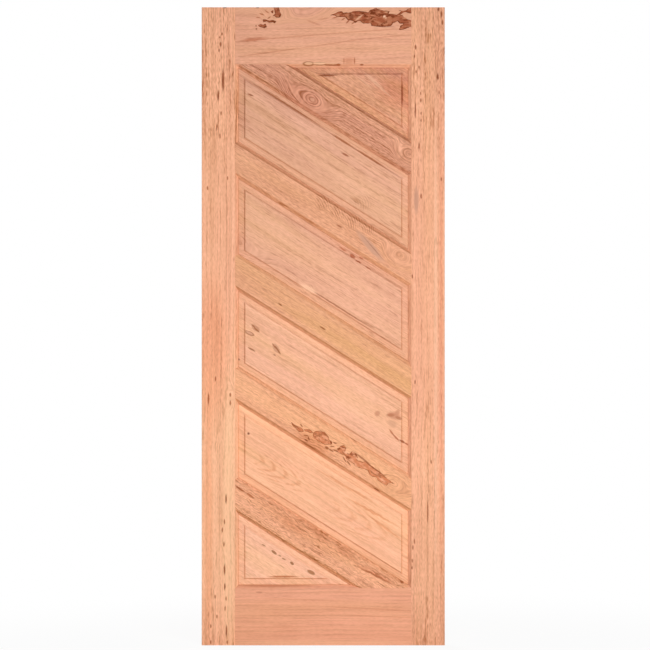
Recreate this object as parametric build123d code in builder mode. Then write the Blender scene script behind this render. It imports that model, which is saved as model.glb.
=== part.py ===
from build123d import *
import os
from math import cos, hypot, radians, sin, tan

# A solid timber door leaf: two stiles, a top and a bottom rail, diagonal rails that fall from left
# to right between them, and raised panels that float in grooves. Both faces are alike.
# X runs from the hinge edge to the lock edge, Y from the front face to the back face, Z upwards.
# The origin is at the foot of the hinge edge, at mid thickness. Lengths are in millimetres.

# Leaf
door_width = 800
door_height = 2100
door_thickness = 35
edge_easing = 1.2

# Frame members, each measured across to the visible edges of the panels beside it
stile_width = 120
top_rail_width = 198
bottom_rail_width = 198
diagonal_rail_width = 102
diagonal_count = 5
diagonal_angle = 32.3
end_bay_trim = 6.5

# Moulding along every edge that holds a panel
moulding_width = 10
moulding_depth = 10
moulding_quirk = 0.6
moulding_bulge = 0.3

# Groove in the moulded edges, with the stub tenons that glue into it
groove_width = 10
groove_depth = 11
tenon_end_gap = 1
cope_clearance = 0.1
joint_easing = 0.4

# Raised panels, loose in the groove so that the timber can move
tongue_end_gap = 2
tongue_clearance = 0.3
shoulder_gap = 0.5
border_width = 18.5
border_rise = 4.5
step_width = 4.6
step_height = 4.6
field_easing = 0.6
field_drop = 2.5

# Levels, measured from the mid plane of the leaf towards either face
face_level = door_thickness / 2
brow_level = face_level - moulding_quirk
foot_level = face_level - moulding_depth
groove_level = groove_width / 2
tongue_level = groove_level - tongue_clearance
field_level = face_level - field_drop
eased_level = field_level - field_easing
step_level = eased_level - step_height
border_level = step_level - border_rise

# Opening between the visible edges of the stiles and rails
opening_left = stile_width
opening_right = door_width - stile_width
opening_bottom = bottom_rail_width
opening_top = door_height - top_rail_width
opening_width = opening_right - opening_left
opening_height = opening_top - opening_bottom
opening_center = (door_width / 2, (opening_top + opening_bottom) / 2)

# Diagonal rails, by the height of each centre line half way across the opening. The lower edge of
# the first starts from the top left corner, and the upper edge of the last ends in the bottom right.
# The first and the last bay are a little narrower than those between them.
slope = radians(diagonal_angle)
half_fall = opening_width / 2 * tan(slope)
half_plumb_width = diagonal_rail_width / 2 / cos(slope)
first_height = opening_top - half_fall + half_plumb_width
last_height = opening_bottom + half_fall - half_plumb_width
inner_pitch = (first_height - last_height + 2 * end_bay_trim) / (diagonal_count - 1)
inner_heights = [
    first_height + end_bay_trim - number * inner_pitch for number in range(1, diagonal_count - 1)
]
diagonal_heights = [first_height, *inner_heights, last_height]

# Section planes: across the horizontal rails, with X of the plane pointing up
across_rails = Plane(origin=(door_width / 2, 0, 0), x_dir=(0, 0, 1), z_dir=(-1, 0, 0))


def edge_lines(visible_edge, side, slot_depth, lift, easing):
    """Draw a moulded and grooved edge from the front face round to the back face.

    side is the way the edge faces, -1 or 1, and slot_depth the depth of its groove. A rail end that
    is scribed over the edge follows the same lines, with its moulding lifted clear by lift.
    The corner at the face is eased, outwards on the edge itself and inwards on the rail end.
    Returns where the lines meet the faces.
    """
    shoulder = visible_edge - side * moulding_width
    face_end = shoulder + side * easing
    slot_end = visible_edge - side * slot_depth
    slope_fall = moulding_depth - moulding_quirk
    bulge = moulding_bulge / hypot(moulding_width, slope_fall)
    for face in (-1, 1):
        brow = Vector(shoulder, face * (brow_level + lift))
        foot = Vector(visible_edge, face * (foot_level + lift))
        crest = (brow + foot) / 2 + Vector(side * slope_fall, face * moulding_width) * bulge
        eased_corner = (shoulder, face * (face_level - joint_easing))
        slot_mouth = (visible_edge, face * groove_level)
        Polyline((face_end, face * face_level), eased_corner, brow)
        ThreePointArc(brow, crest, foot)
        Polyline(foot, slot_mouth, (slot_end, face * groove_level))
    Line((slot_end, -groove_level), (slot_end, groove_level))
    return face_end


def own_edge(visible_edge, side):
    """Draw the moulded edge of a stile or rail."""
    return edge_lines(visible_edge, side, groove_depth, 0, -joint_easing)


def scribed_edge(visible_edge, side):
    """Draw the end of a rail where it fits over the moulded edge of its neighbour."""
    return edge_lines(visible_edge, side, groove_depth - tenon_end_gap, cope_clearance, joint_easing)


def join_faces(low_end, high_end):
    """Draw the front and back faces between two edges."""
    for level in (-face_level, face_level):
        Line((low_end, level), (high_end, level))


def plain_edge(face_end, position):
    """Draw the faces of a member from its moulded edge, and its square outer edge."""
    join_faces(face_end, position)
    Line((position, -face_level), (position, face_level))


def panel_outline(upper_height, lower_height, margin):
    """Outline of a panel, larger than what shows of it by margin on every side.

    The heights are those of the diagonal edges above and below it, half way across the opening.
    """
    middle_height = (upper_height + lower_height) / 2
    strip_width = (upper_height - lower_height) * cos(slope)
    with BuildSketch() as outline:
        with Locations(opening_center):
            Rectangle(opening_width + 2 * margin, opening_height + 2 * margin)
        with Locations((door_width / 2, middle_height)):
            Rectangle(
                2 * door_height,
                strip_width + 2 * margin,
                rotation=-diagonal_angle,
                mode=Mode.INTERSECT,
            )
    return outline.sketch


# Space between the stiles, and between the top and bottom rails, as scribed rail ends fill it
with BuildSketch() as stile_bay:
    with BuildLine():
        join_faces(scribed_edge(opening_left, 1), scribed_edge(opening_right, -1))
    make_face()

with BuildSketch(across_rails) as rail_bay:
    with BuildLine():
        join_faces(scribed_edge(opening_bottom, 1), scribed_edge(opening_top, -1))
    make_face()

os.makedirs("parts", exist_ok=True)

# Stiles: full height, moulded and grooved along the inner edge
with BuildPart() as left_stile:
    with BuildSketch() as stile_section:
        with BuildLine():
            plain_edge(own_edge(opening_left, 1), 0)
        make_face()
        fillet(stile_section.vertices().group_by(Axis.X)[0], edge_easing)
    extrude(amount=door_height)

left_stile.part.label = "left_stile"
export_step(left_stile.part, "parts/left_stile.step")

with BuildPart() as right_stile:
    mirror(left_stile.part, about=Plane.YZ.offset(door_width / 2))

right_stile.part.label = "right_stile"
export_step(right_stile.part, "parts/right_stile.step")

# Top and bottom rails: moulded along the panel edge, scribed and stub tenoned into the stiles
with BuildPart() as top_rail:
    with BuildSketch(across_rails):
        with BuildLine():
            plain_edge(own_edge(opening_top, -1), door_height)
        make_face()
    extrude(amount=door_width / 2, both=True)
    extrude(to_extrude=stile_bay.sketch, amount=door_height, mode=Mode.INTERSECT)

top_rail.part.label = "top_rail"
export_step(top_rail.part, "parts/top_rail.step")

with BuildPart() as bottom_rail:
    with BuildSketch(across_rails):
        with BuildLine():
            plain_edge(own_edge(opening_bottom, 1), 0)
        make_face()
    extrude(amount=door_width / 2, both=True)
    extrude(to_extrude=stile_bay.sketch, amount=door_height, mode=Mode.INTERSECT)

bottom_rail.part.label = "bottom_rail"
export_step(bottom_rail.part, "parts/bottom_rail.step")

# Diagonal rails: moulded along both edges, scribed to whichever stile or rail each end meets
for number, height in enumerate(diagonal_heights, start=1):
    across_diagonal = Plane(
        origin=(door_width / 2, 0, height),
        x_dir=(sin(slope), 0, cos(slope)),
        z_dir=(-cos(slope), 0, sin(slope)),
    )
    with BuildPart() as diagonal_rail:
        with BuildSketch(across_diagonal):
            with BuildLine():
                low_end = own_edge(-diagonal_rail_width / 2, -1)
                high_end = own_edge(diagonal_rail_width / 2, 1)
                join_faces(low_end, high_end)
            make_face()
        extrude(amount=door_width, both=True)
        extrude(to_extrude=stile_bay.sketch, amount=door_height, mode=Mode.INTERSECT)
        extrude(to_extrude=rail_bay.sketch, amount=door_width, both=True, mode=Mode.INTERSECT)

    diagonal_rail.part.label = f"diagonal_rail_{number}"
    export_step(diagonal_rail.part, f"parts/diagonal_rail_{number}.step")

# Raised panels: a tongue all round, a border that slopes up inwards, and a stepped-up field
rail_tops = [height + half_plumb_width for height in diagonal_heights]
rail_bottoms = [height - half_plumb_width for height in diagonal_heights]
panel_uppers = [rail_tops[0] + door_height] + rail_bottoms
panel_lowers = rail_tops + [rail_bottoms[-1] - door_height]

for number, (upper, lower) in enumerate(zip(panel_uppers, panel_lowers), start=1):
    tongue = panel_outline(upper, lower, groove_depth - tongue_end_gap)
    shoulder = panel_outline(upper, lower, -shoulder_gap)
    border_top = panel_outline(upper, lower, -border_width)
    step_top = panel_outline(upper, lower, -border_width - step_width)
    field = panel_outline(upper, lower, -border_width - step_width - field_easing)
    with BuildPart() as panel:
        with BuildSketch(Plane.XZ):
            add(tongue)
        extrude(amount=tongue_level)
        with BuildSketch(Plane.XZ):
            add(shoulder)
        extrude(amount=border_level)
        with BuildSketch(Plane.XZ.offset(border_level)):
            add(shoulder)
        with BuildSketch(Plane.XZ.offset(step_level)):
            add(border_top)
        loft(ruled=True)
        with BuildSketch(Plane.XZ.offset(step_level)):
            add(border_top)
        with BuildSketch(Plane.XZ.offset(eased_level)):
            add(step_top)
        loft(ruled=True)
        with BuildSketch(Plane.XZ.offset(eased_level)):
            add(step_top)
        with BuildSketch(Plane.XZ.offset(field_level)):
            add(field)
        loft(ruled=True)
        mirror(about=Plane.XZ)

    panel.part.label = f"panel_{number}"
    export_step(panel.part, f"parts/panel_{number}.step")
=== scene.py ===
"""Looks of a solid timber door leaf with diagonal rails and raised panels.

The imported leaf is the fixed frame. Every board keeps its place and gets a procedural timber finish of
its own, whose grain runs the way the board was cut, with the knots, stains and flecks that lie on its
front face. Two rails with bark pockets are carved copies that replace their packed boards. Places on the
face are in millimetres from the foot of the hinge edge.
"""

import logging
import math
from dataclasses import dataclass
from enum import Enum

import bmesh
import bpy
import numpy as np
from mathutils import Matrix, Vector, noise


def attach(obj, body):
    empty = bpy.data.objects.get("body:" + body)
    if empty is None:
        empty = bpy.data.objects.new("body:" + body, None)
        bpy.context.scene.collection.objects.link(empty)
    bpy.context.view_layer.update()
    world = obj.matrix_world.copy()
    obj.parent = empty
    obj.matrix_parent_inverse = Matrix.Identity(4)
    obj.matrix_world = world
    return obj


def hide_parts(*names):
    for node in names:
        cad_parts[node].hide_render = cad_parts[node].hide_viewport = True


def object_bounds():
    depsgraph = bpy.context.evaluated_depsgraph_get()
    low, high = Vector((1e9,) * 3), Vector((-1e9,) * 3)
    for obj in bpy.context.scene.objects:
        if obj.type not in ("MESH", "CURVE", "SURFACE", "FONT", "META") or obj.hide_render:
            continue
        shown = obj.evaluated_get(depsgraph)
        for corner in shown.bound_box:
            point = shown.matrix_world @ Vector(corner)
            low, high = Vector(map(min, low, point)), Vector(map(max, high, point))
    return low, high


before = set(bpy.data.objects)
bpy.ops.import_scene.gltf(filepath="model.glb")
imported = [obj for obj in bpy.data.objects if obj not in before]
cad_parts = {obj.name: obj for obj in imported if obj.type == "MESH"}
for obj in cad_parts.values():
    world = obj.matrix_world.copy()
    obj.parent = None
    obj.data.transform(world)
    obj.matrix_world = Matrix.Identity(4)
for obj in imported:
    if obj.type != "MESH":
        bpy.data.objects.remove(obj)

CAD_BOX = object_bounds()
MM = 0.001
DIAGONAL_SLOPE = math.radians(32.3)
BARK_LAYER = "bark"

log = logging.getLogger("door_leaf")

Socket = bpy.types.NodeSocket
Outputs = bpy.types.bpy_prop_collection
Feed = Socket | Vector | float | tuple[float, ...]
Colour = tuple[float, float, float, float]
Sockets = dict[str, tuple[str, ...]]


def paint(code: str) -> Colour:
    """Turn a screen colour into the linear colour that a shader takes.

    Args:
        code: six hexadecimal digits, red, green and blue.

    Returns:
        Red, green, blue and an opaque alpha.
    """
    channels = [int(code[i : i + 2], 16) / 255 for i in (0, 2, 4)]
    linear = [c / 12.92 if c <= 0.04045 else ((c + 0.055) / 1.055) ** 2.4 for c in channels]
    return (linear[0], linear[1], linear[2], 1.0)


def new_material(name: str) -> bpy.types.Material:
    """Start a material without nodes.

    Args:
        name: the material's name.

    Returns:
        The material.
    """
    material = bpy.data.materials.new(name)
    material.use_nodes = True
    material.node_tree.nodes.clear()
    return material


class Grain(Enum):
    """Way that a board's grain runs, as the turn about Y that lays it along the first axis."""

    UPRIGHT = math.pi / 2
    LEVEL = 0.0
    SLOPING = -DIAGONAL_SLOPE

    def axes(self) -> tuple[Vector, Vector]:
        """Directions along and across the grain on the front face."""
        turn = self.value
        return Vector((math.cos(turn), 0.0, math.sin(turn))), Vector((-math.sin(turn), 0.0, math.cos(turn)))

    def place(self, x: float, z: float) -> Vector:
        """Find a place of the leaf along, through and across the grain.

        Args:
            x: its distance from the hinge edge, in millimetres.
            z: its height above the foot, in millimetres.

        Returns:
            The place in metres.
        """
        along, across = self.axes()
        spot = Vector((x, 0.0, z)) * MM
        return Vector((spot.dot(along), 0.0, spot.dot(across)))


class Lay(Enum):
    """How a mark changes the timber under it."""

    COVER = "MIX"
    TINT = "MULTIPLY"


class Edge(Enum):
    """How far the outline of a mark strays, as the place that it is measured in."""

    FINE = "Fine place"
    RAGGED = "Ragged place"


@dataclass(frozen=True)
class Mark:
    """A patch of other colour on the front face, in millimetres on the leaf.

    The tilt is in degrees from the grain, and soft is the share of the half size over which the edge
    fades.
    """

    x: float
    z: float
    length: float
    width: float
    tilt: float = 0.0
    colour: str = "AA8161"
    strength: float = 0.9
    soft: float = 0.45
    edge: Edge = Edge.FINE
    lay: Lay = Lay.TINT


@dataclass(frozen=True)
class Ripple:
    """A patch of fine lines across the front face, where the grain dives, in millimetres on the leaf.

    The lines are spacing apart along the patch, which is tilted from the grain, and they bow by so many
    millimetres at its sides. The tint darkens the timber along them.
    """

    x: float
    z: float
    length: float
    width: float
    tilt: float
    spacing: float = 6.0
    bow: float = 8.0
    strength: float = 0.22
    tint: str = "CBB6A4"


@dataclass(frozen=True)
class Knot:
    """A place where growth lines close round a branch, in millimetres on the leaf.

    Reach is how far the closed lines spread across the grain, and stretch how much longer they are along
    it.
    """

    x: float
    z: float
    reach: float
    stretch: float = 2.0


@dataclass(frozen=True)
class Hollow:
    """A bark pocket in the front face, by its outline in millimetres on the leaf."""

    outline: tuple[tuple[float, float], ...]

    def inset(self, places: np.ndarray) -> np.ndarray:
        """Measure how far places lie inside the outline.

        Args:
            places: x and z of each place.

        Returns:
            The distance to the outline, below 0 outside it.
        """
        nearest = np.full(len(places), np.inf)
        inside = np.zeros(len(places), dtype=bool)
        corners = np.array(self.outline, dtype=float)
        for start, end in zip(corners, np.roll(corners, -1, axis=0)):
            run = end - start
            offset = places - start
            share = np.clip(offset @ run / (run @ run), 0.0, 1.0)
            gap = offset - share[:, None] * run
            nearest = np.minimum(nearest, np.hypot(gap[:, 0], gap[:, 1]))
            if run[1]:
                between = (start[1] > places[:, 1]) != (end[1] > places[:, 1])
                inside ^= between & (offset[:, 0] < offset[:, 1] / run[1] * run[0])
        return np.where(inside, nearest, -nearest)


@dataclass(frozen=True)
class Bark:
    """Finish of the bark in a pocket, from its dark rim to its palest flakes."""

    rim: str
    fill: str
    flake: str
    speck: str


@dataclass(frozen=True)
class Timber:
    """Finish of one board.

    The body is its plain colour, wander how far its growth lines stray, jag how far they waver and spacing
    how far apart they are, in millimetres. The rest are the strengths of the parts of its figure.
    """

    body: str
    seed: float
    wander: float = 14.0
    jag: float = 4.0
    spacing: float = 11.0
    rings: float = 0.14
    lines: float = 0.16
    streaks: float = 0.14
    fibres: float = 0.22
    dashes: float = 0.30
    flecks: float = 0.35
    mottle: float = 0.10
    blush: float = 0.07


@dataclass(frozen=True)
class WorkedEdge:
    """Finish of a board's machined edges, by levels in millimetres from the mid thickness.

    The slope runs from the face level down to the foot and a border lies below it. The slope is darkest
    along the face, by one tint where it faces up across the grain and by another elsewhere; these tints are
    painted shade, darker on the side that faces away from the key lamp, over a browner hue of cut wood.
    Painted shade darkens the corner, which ends at the crease level. The colours are tints of the timber.
    """

    face: float
    foot: float
    crease: float
    corner: float
    upper_tint: str
    lower_tint: str
    border_tint: str
    crease_tint: str


# Upper and lower tints are painted shade on slopes that face away from the key lamp: up-facing ones on the
# high rails, down-facing ones on the low rails and the panels, alike on both sides of the stiles. Each
# crease tint is painted shade in the corner at the foot.
FRAME_EDGE = WorkedEdge(17.3, 7.3, 7.5, 1.4, "E4D6C6", "F4ECE0", "FCFCFA", "F8F2EC")
SHADED_BELOW_EDGE = WorkedEdge(17.3, 7.3, 7.5, 1.4, "FFFFFF", "E4D8C0", "FFFFFC", "FCF8F2")
STILE_EDGE = WorkedEdge(17.3, 7.3, 7.5, 1.4, "ECE6E0", "ECE6E0", "FFFFFF", "FCF8F4")
PANEL_EDGE = WorkedEdge(14.7, 9.7, 5.3, 0.5, "FFFFFF", "EEDFCC", "FFFFFD", "EBDCCB")


@dataclass(frozen=True)
class Cells:
    """Cells of a noise in a metre along, through and across the grain, and how many finer layers it has."""

    along: float
    through: float
    across: float
    detail: float = 0.0


class Sheet:
    """A node tree with short calls for the nodes that the finishes are made of."""

    SPOT_EDGE = (0.44, 0.16)
    SPOT_FADE = 0.2

    def __init__(self, tree: bpy.types.NodeTree) -> None:
        """Keep the tree that the calls add to."""
        self.tree = tree

    def feed(self, socket: Socket, value: Feed) -> None:
        """Link a socket to another, or set its value.

        Args:
            socket: the socket that is fed.
            value: the other socket, or the value.
        """
        if isinstance(value, bpy.types.NodeSocket):
            self.tree.links.new(value, socket)
        else:
            socket.default_value = value

    def add(self, kind: str, feeds: dict[int | str, Feed] | None = None, **settings: object) -> Outputs:
        """Add a node.

        Args:
            kind: name of the node's type.
            feeds: what its inputs are fed, by their number or name.
            settings: values of its properties.

        Returns:
            The node's outputs.
        """
        node = self.tree.nodes.new(kind)
        for name, value in settings.items():
            setattr(node, name, value)
        for key, value in (feeds or {}).items():
            self.feed(node.inputs[key], value)
        return node.outputs

    def math(self, operation: str, *values: Feed) -> Socket:
        """Combine values."""
        return self.add("ShaderNodeMath", dict(enumerate(values)), operation=operation)[0]

    def total(self, *shares: tuple[Feed, Feed]) -> Socket:
        """Add up values, each times its own factor.

        Args:
            shares: the values with their factors.

        Returns:
            The sum.
        """
        result: Feed = 0.0
        for value, factor in shares:
            result = self.math("MULTIPLY_ADD", value, factor, result)
        return result

    def vector(self, operation: str, *values: Feed) -> Socket:
        """Combine vectors, to a value where the operation is LENGTH."""
        outputs = self.add("ShaderNodeVectorMath", dict(enumerate(values)), operation=operation)
        return outputs["Value" if operation == "LENGTH" else "Vector"]

    def scale(self, vector: Feed, factor: Feed) -> Socket:
        """Scale a vector by one factor."""
        feeds = {0: vector, "Scale": factor}
        return self.add("ShaderNodeVectorMath", feeds, operation="SCALE")["Vector"]

    def split(self, vector: Feed) -> Outputs:
        """Take a vector apart."""
        return self.add("ShaderNodeSeparateXYZ", {0: vector})

    def join(self, x: Feed, y: Feed, z: Feed) -> Socket:
        """Put a vector together."""
        return self.add("ShaderNodeCombineXYZ", {0: x, 1: y, 2: z})[0]

    def turn(self, vector: Feed, angle: Feed) -> Socket:
        """Turn a vector about Y."""
        feeds = {"Vector": vector, "Angle": angle}
        return self.add("ShaderNodeVectorRotate", feeds, rotation_type="Y_AXIS")[0]

    def local(self, place: Feed, centre: Feed, turn: Feed, size: Feed) -> Socket:
        """Measure a place from a centre, along turned axes and in shares of a size."""
        feeds = {0: place, 1: centre, 2: turn, 3: size}
        return self.add("ShaderNodeMapping", feeds, vector_type="TEXTURE")[0]

    def fade(
        self, value: Feed, none: Feed, full: Feed, top: Feed = 1.0, ease: str = "SMOOTHSTEP"
    ) -> Socket:
        """Map a value to a mask, which is 0 at the value none and at its top at the value full."""
        feeds = {"Value": value, "From Min": none, "From Max": full, "To Max": top}
        return self.add("ShaderNodeMapRange", feeds, interpolation_type=ease)["Result"]

    def stretched(self, vector: Feed, cells: Cells) -> Socket:
        """Measure a place in cells of a noise."""
        return self.vector("MULTIPLY", vector, (cells.along, cells.through, cells.across))

    def noise(self, vector: Feed, cells: Cells) -> Outputs:
        """Add a noise that is drawn out along the grain."""
        feeds = {"Vector": self.stretched(vector, cells), "Scale": 1.0, "Detail": cells.detail}
        return self.add("ShaderNodeTexNoise", feeds)

    def swing(self, vector: Feed, cells: Cells) -> Socket:
        """Add a noise value that swings about 0."""
        return self.math("SUBTRACT", self.noise(vector, cells)[0], 0.5)

    def spots(self, vector: Feed, cells: Cells, rare: float) -> Socket:
        """Add scattered spots that are drawn out along the grain.

        Args:
            vector: place in the board, in metres.
            cells: how close the spots lie.
            rare: the share of them that is left out.

        Returns:
            A mask of the spots.
        """
        feeds = {"Vector": self.stretched(vector, cells), "Scale": 1.0}
        spots = self.add("ShaderNodeTexVoronoi", feeds)
        chance = self.split(spots["Color"])[0]
        spot = self.fade(spots["Distance"], *self.SPOT_EDGE)
        return self.math("MULTIPLY", spot, self.fade(chance, rare, rare + self.SPOT_FADE))

    def mix(self, factor: Feed, first: Feed, second: Feed, lay: Lay = Lay.COVER) -> Socket:
        """Lay a second colour over a first."""
        feeds = {0: factor, 6: first, 7: second}
        return self.add("ShaderNodeMix", feeds, data_type="RGBA", blend_type=lay.value)[2]

    def group(self, tree: bpy.types.NodeTree, **values: Feed) -> Outputs:
        """Place a node group, fed by the names of its inputs with _ for each space."""
        feeds = {name.replace("_", " ").capitalize(): value for name, value in values.items()}
        return self.add("ShaderNodeGroup", feeds, node_tree=tree)


class GroupSheet(Sheet):
    """A node group under construction."""

    def __init__(self, name: str, inputs: Sockets, outputs: Sockets) -> None:
        """Make the group with its sockets.

        Args:
            name: the group's name.
            inputs: the names of its inputs by kind, Float, Vector or Color.
            outputs: the names of its outputs by kind.
        """
        super().__init__(bpy.data.node_groups.new(name, "ShaderNodeTree"))
        for way, sockets in (("INPUT", inputs), ("OUTPUT", outputs)):
            for kind, labels in sockets.items():
                for label in labels:
                    self.tree.interface.new_socket(label, in_out=way, socket_type=f"NodeSocket{kind}")
        self.given = self.add("NodeGroupInput")
        self.result = self.tree.nodes.new("NodeGroupOutput").inputs

    def give(self, **values: Feed) -> bpy.types.NodeTree:
        """Feed the group's outputs.

        Args:
            values: what each output is fed, by its name.

        Returns:
            The finished group.
        """
        for name, value in values.items():
            self.feed(self.result[name.capitalize()], value)
        return self.tree


class TimberNodes:
    """Node groups that the boards share, each built once, with lengths in metres.

    A pair of numbers is where a mask is none and where it is full.
    """

    FIGURE = ("Rings", "Lines", "Streaks", "Fibres", "Dashes", "Flecks", "Mottle", "Blush")
    STRAYS = {
        Edge.FINE: (Cells(110.0, 110.0, 230.0, 2.0), 0.0024),
        Edge.RAGGED: (Cells(50.0, 50.0, 80.0, 2.0), 0.010),
    }
    SEED_STEP = (3.1, 1.7, 2.3)
    BACK_SHIFT = 20.0
    SWAY = Cells(1.2, 5.0, 5.0, 2.0)
    SWERVE = Cells(9.0, 12.0, 22.0, 1.0)
    WAVER = Cells(55.0, 60.0, 80.0, 2.0)
    RING_PACE = Cells(0.8, 20.0, 32.0)
    RING_BREAKS = Cells(9.0, 30.0, 50.0, 2.0)
    LINE_COURSE = Cells(2.5, 40.0, 130.0)
    LINE_BREAKS = Cells(26.0, 60.0, 160.0, 1.0)
    STREAKS = Cells(2.2, 30.0, 130.0, 2.0)
    FIBRES = Cells(66.0, 120.0, 420.0)
    MOTTLE = Cells(5.0, 9.0, 11.0, 3.0)
    BLUSH = Cells(1.2, 7.0, 18.0, 2.0)
    DASHES = Cells(70.0, 90.0, 300.0)
    FLECKS = Cells(24.0, 60.0, 150.0)
    RIPPLE_WAVER = Cells(30.0, 30.0, 40.0, 1.0)
    RIPPLE_BREAKS = Cells(60.0, 60.0, 60.0, 1.0)
    BARK_FLAKES = Cells(40.0, 60.0, 100.0, 3.0)
    BARK_SPECKS = Cells(75.0, 90.0, 190.0, 2.0)
    BARK_RIM = Cells(60.0, 70.0, 90.0, 2.0)
    TONE_WEIGHT = (0.75, 1.0, 1.2)
    BLUSH_WEIGHT = (0.0, 0.45, -1.0)
    DASH_SHADE = (0.60, 0.47, 0.37, 1.0)
    FLECK_SHADE = (0.42, 0.27, 0.17, 1.0)
    END_SHADE = (0.80, 0.70, 0.66, 1.0)
    EDGE_LEAD = 0.0003
    SWAY_SHARE = 2.0
    SWERVE_SHARE = 0.5
    RING_DRIFT = 3.0
    SWING_RANGE = (0.28, 0.72)
    DASHES_LEFT_OUT = 0.45
    FLECKS_LEFT_OUT = 0.82
    ROUGHNESS = 0.55
    PORE_ROUGHNESS = 0.18
    RIPPLE_STRAY = 0.012
    BARK_RIM_STRAY = 12.0
    BARK_RIM_WIDTH = 3.0
    END_FACING = (0.75, 0.95)
    UPPER_FACING = (0.45, 0.6)
    KNOT_EDGE = (1.0, 0.3)
    RING_RISE = (0.40, 0.90)
    RING_FALL = (1.0, 0.92)
    RING_SHOWN = (0.36, 0.60)
    LINE_EDGE = (0.07, 0.012)
    LINE_SHOWN = (0.40, 0.58)
    RIPPLE_EDGE = (1.0, 0.5)
    RIPPLE_LINE = (0.22, 0.46)
    RIPPLE_SHOWN = (0.30, 0.55)
    FLAKES_SHOWN = (0.44, 0.62)
    SPECKS_SHOWN = (0.53, 0.64)
    BARK_EDGE = (-0.5, 0.5)

    def __init__(self) -> None:
        """Build the groups."""
        self.place = self.build_place()
        self.growth = self.build_growth()
        self.knot = self.build_knot()
        self.figure = self.build_figure()
        self.colour = self.build_colour()
        self.worked = self.build_worked()
        self.mark = self.build_mark()
        self.ripple = self.build_ripple()
        self.bark = self.build_bark()

    def build_place(self) -> bpy.types.NodeTree:
        """Group that gives the place in a board along, through and across its grain.

        Returns:
            The group. Place is for the front face, since places on the back are moved far off, and the
            fine and ragged places stray from it a little. Grain has the board's own shift, Level is the
            distance from the mid thickness, Facing how far the surface faces up across the grain and
            End a mask of end grain.
        """
        vectors = ("Place", "Grain", *(edge.value for edge in self.STRAYS))
        outputs = {"Vector": vectors, "Float": ("Level", "Facing", "End")}
        sheet = GroupSheet("board place", {"Float": ("Turn", "Seed")}, outputs)
        turn = sheet.given["Turn"]
        source = sheet.add("ShaderNodeTexCoord")
        place = sheet.turn(source["Object"], turn)
        facing = sheet.split(sheet.turn(source["Normal"], turn))
        through = sheet.split(place)[1]
        grain = sheet.vector("ADD", place, sheet.scale(self.SEED_STEP, sheet.given["Seed"]))
        back = sheet.math("MULTIPLY", sheet.math("GREATER_THAN", through, 0.0), self.BACK_SHIFT)
        front = sheet.vector("ADD", place, sheet.join(back, 0.0, 0.0))
        for edge, (cells, reach) in self.STRAYS.items():
            drift = sheet.vector("SUBTRACT", sheet.noise(grain, cells)[1], (0.5, 0.5, 0.5))
            sheet.feed(sheet.result[edge.value], sheet.vector("ADD", front, sheet.scale(drift, reach)))
        end = sheet.fade(sheet.math("ABSOLUTE", facing[0]), *self.END_FACING)
        level = sheet.math("ABSOLUTE", through)
        return sheet.give(place=front, grain=grain, level=level, facing=facing[2], end=end)

    def build_growth(self) -> bpy.types.NodeTree:
        """Group that measures how far across the growth lines of a board a place lies.

        Returns:
            The group. Wander is how far the lines stray over a board's length and Jag how far they waver
            within a hand's breadth.
        """
        inputs = {"Vector": ("Place", "Grain"), "Float": ("Wander", "Jag")}
        sheet = GroupSheet("growth", inputs, {"Float": ("Growth",)})
        given = sheet.given
        grain = given["Grain"]
        across = sheet.split(given["Place"])[2]
        bends = ((self.SWAY, self.SWAY_SHARE), (self.SWERVE, self.SWERVE_SHARE))
        sway = sheet.total(*((sheet.swing(grain, cells), share) for cells, share in bends))
        waver = sheet.swing(grain, self.WAVER)
        return sheet.give(growth=sheet.total((sway, given["Wander"]), (waver, given["Jag"]), (across, 1.0)))

    def build_knot(self) -> bpy.types.NodeTree:
        """Group that closes growth lines round a knot.

        Returns:
            The group. Near is a mask of the places round knots.
        """
        inputs = {"Vector": ("Place", "Centre", "Reach"), "Float": ("Growth", "Near")}
        sheet = GroupSheet("knot", inputs, {"Float": ("Growth", "Near")})
        given = sheet.given
        spot = sheet.local(given["Place"], given["Centre"], (0.0, 0.0, 0.0), given["Reach"])
        distance = sheet.vector("LENGTH", spot)
        share = sheet.fade(distance, *self.KNOT_EDGE)
        middle = sheet.split(given["Centre"])[2]
        ring = sheet.total((distance, sheet.split(given["Reach"])[2]), (middle, 1.0))
        change = sheet.math("SUBTRACT", ring, given["Growth"])
        growth = sheet.total((change, share), (given["Growth"], 1.0))
        return sheet.give(growth=growth, near=sheet.math("MAXIMUM", given["Near"], share))

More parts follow.
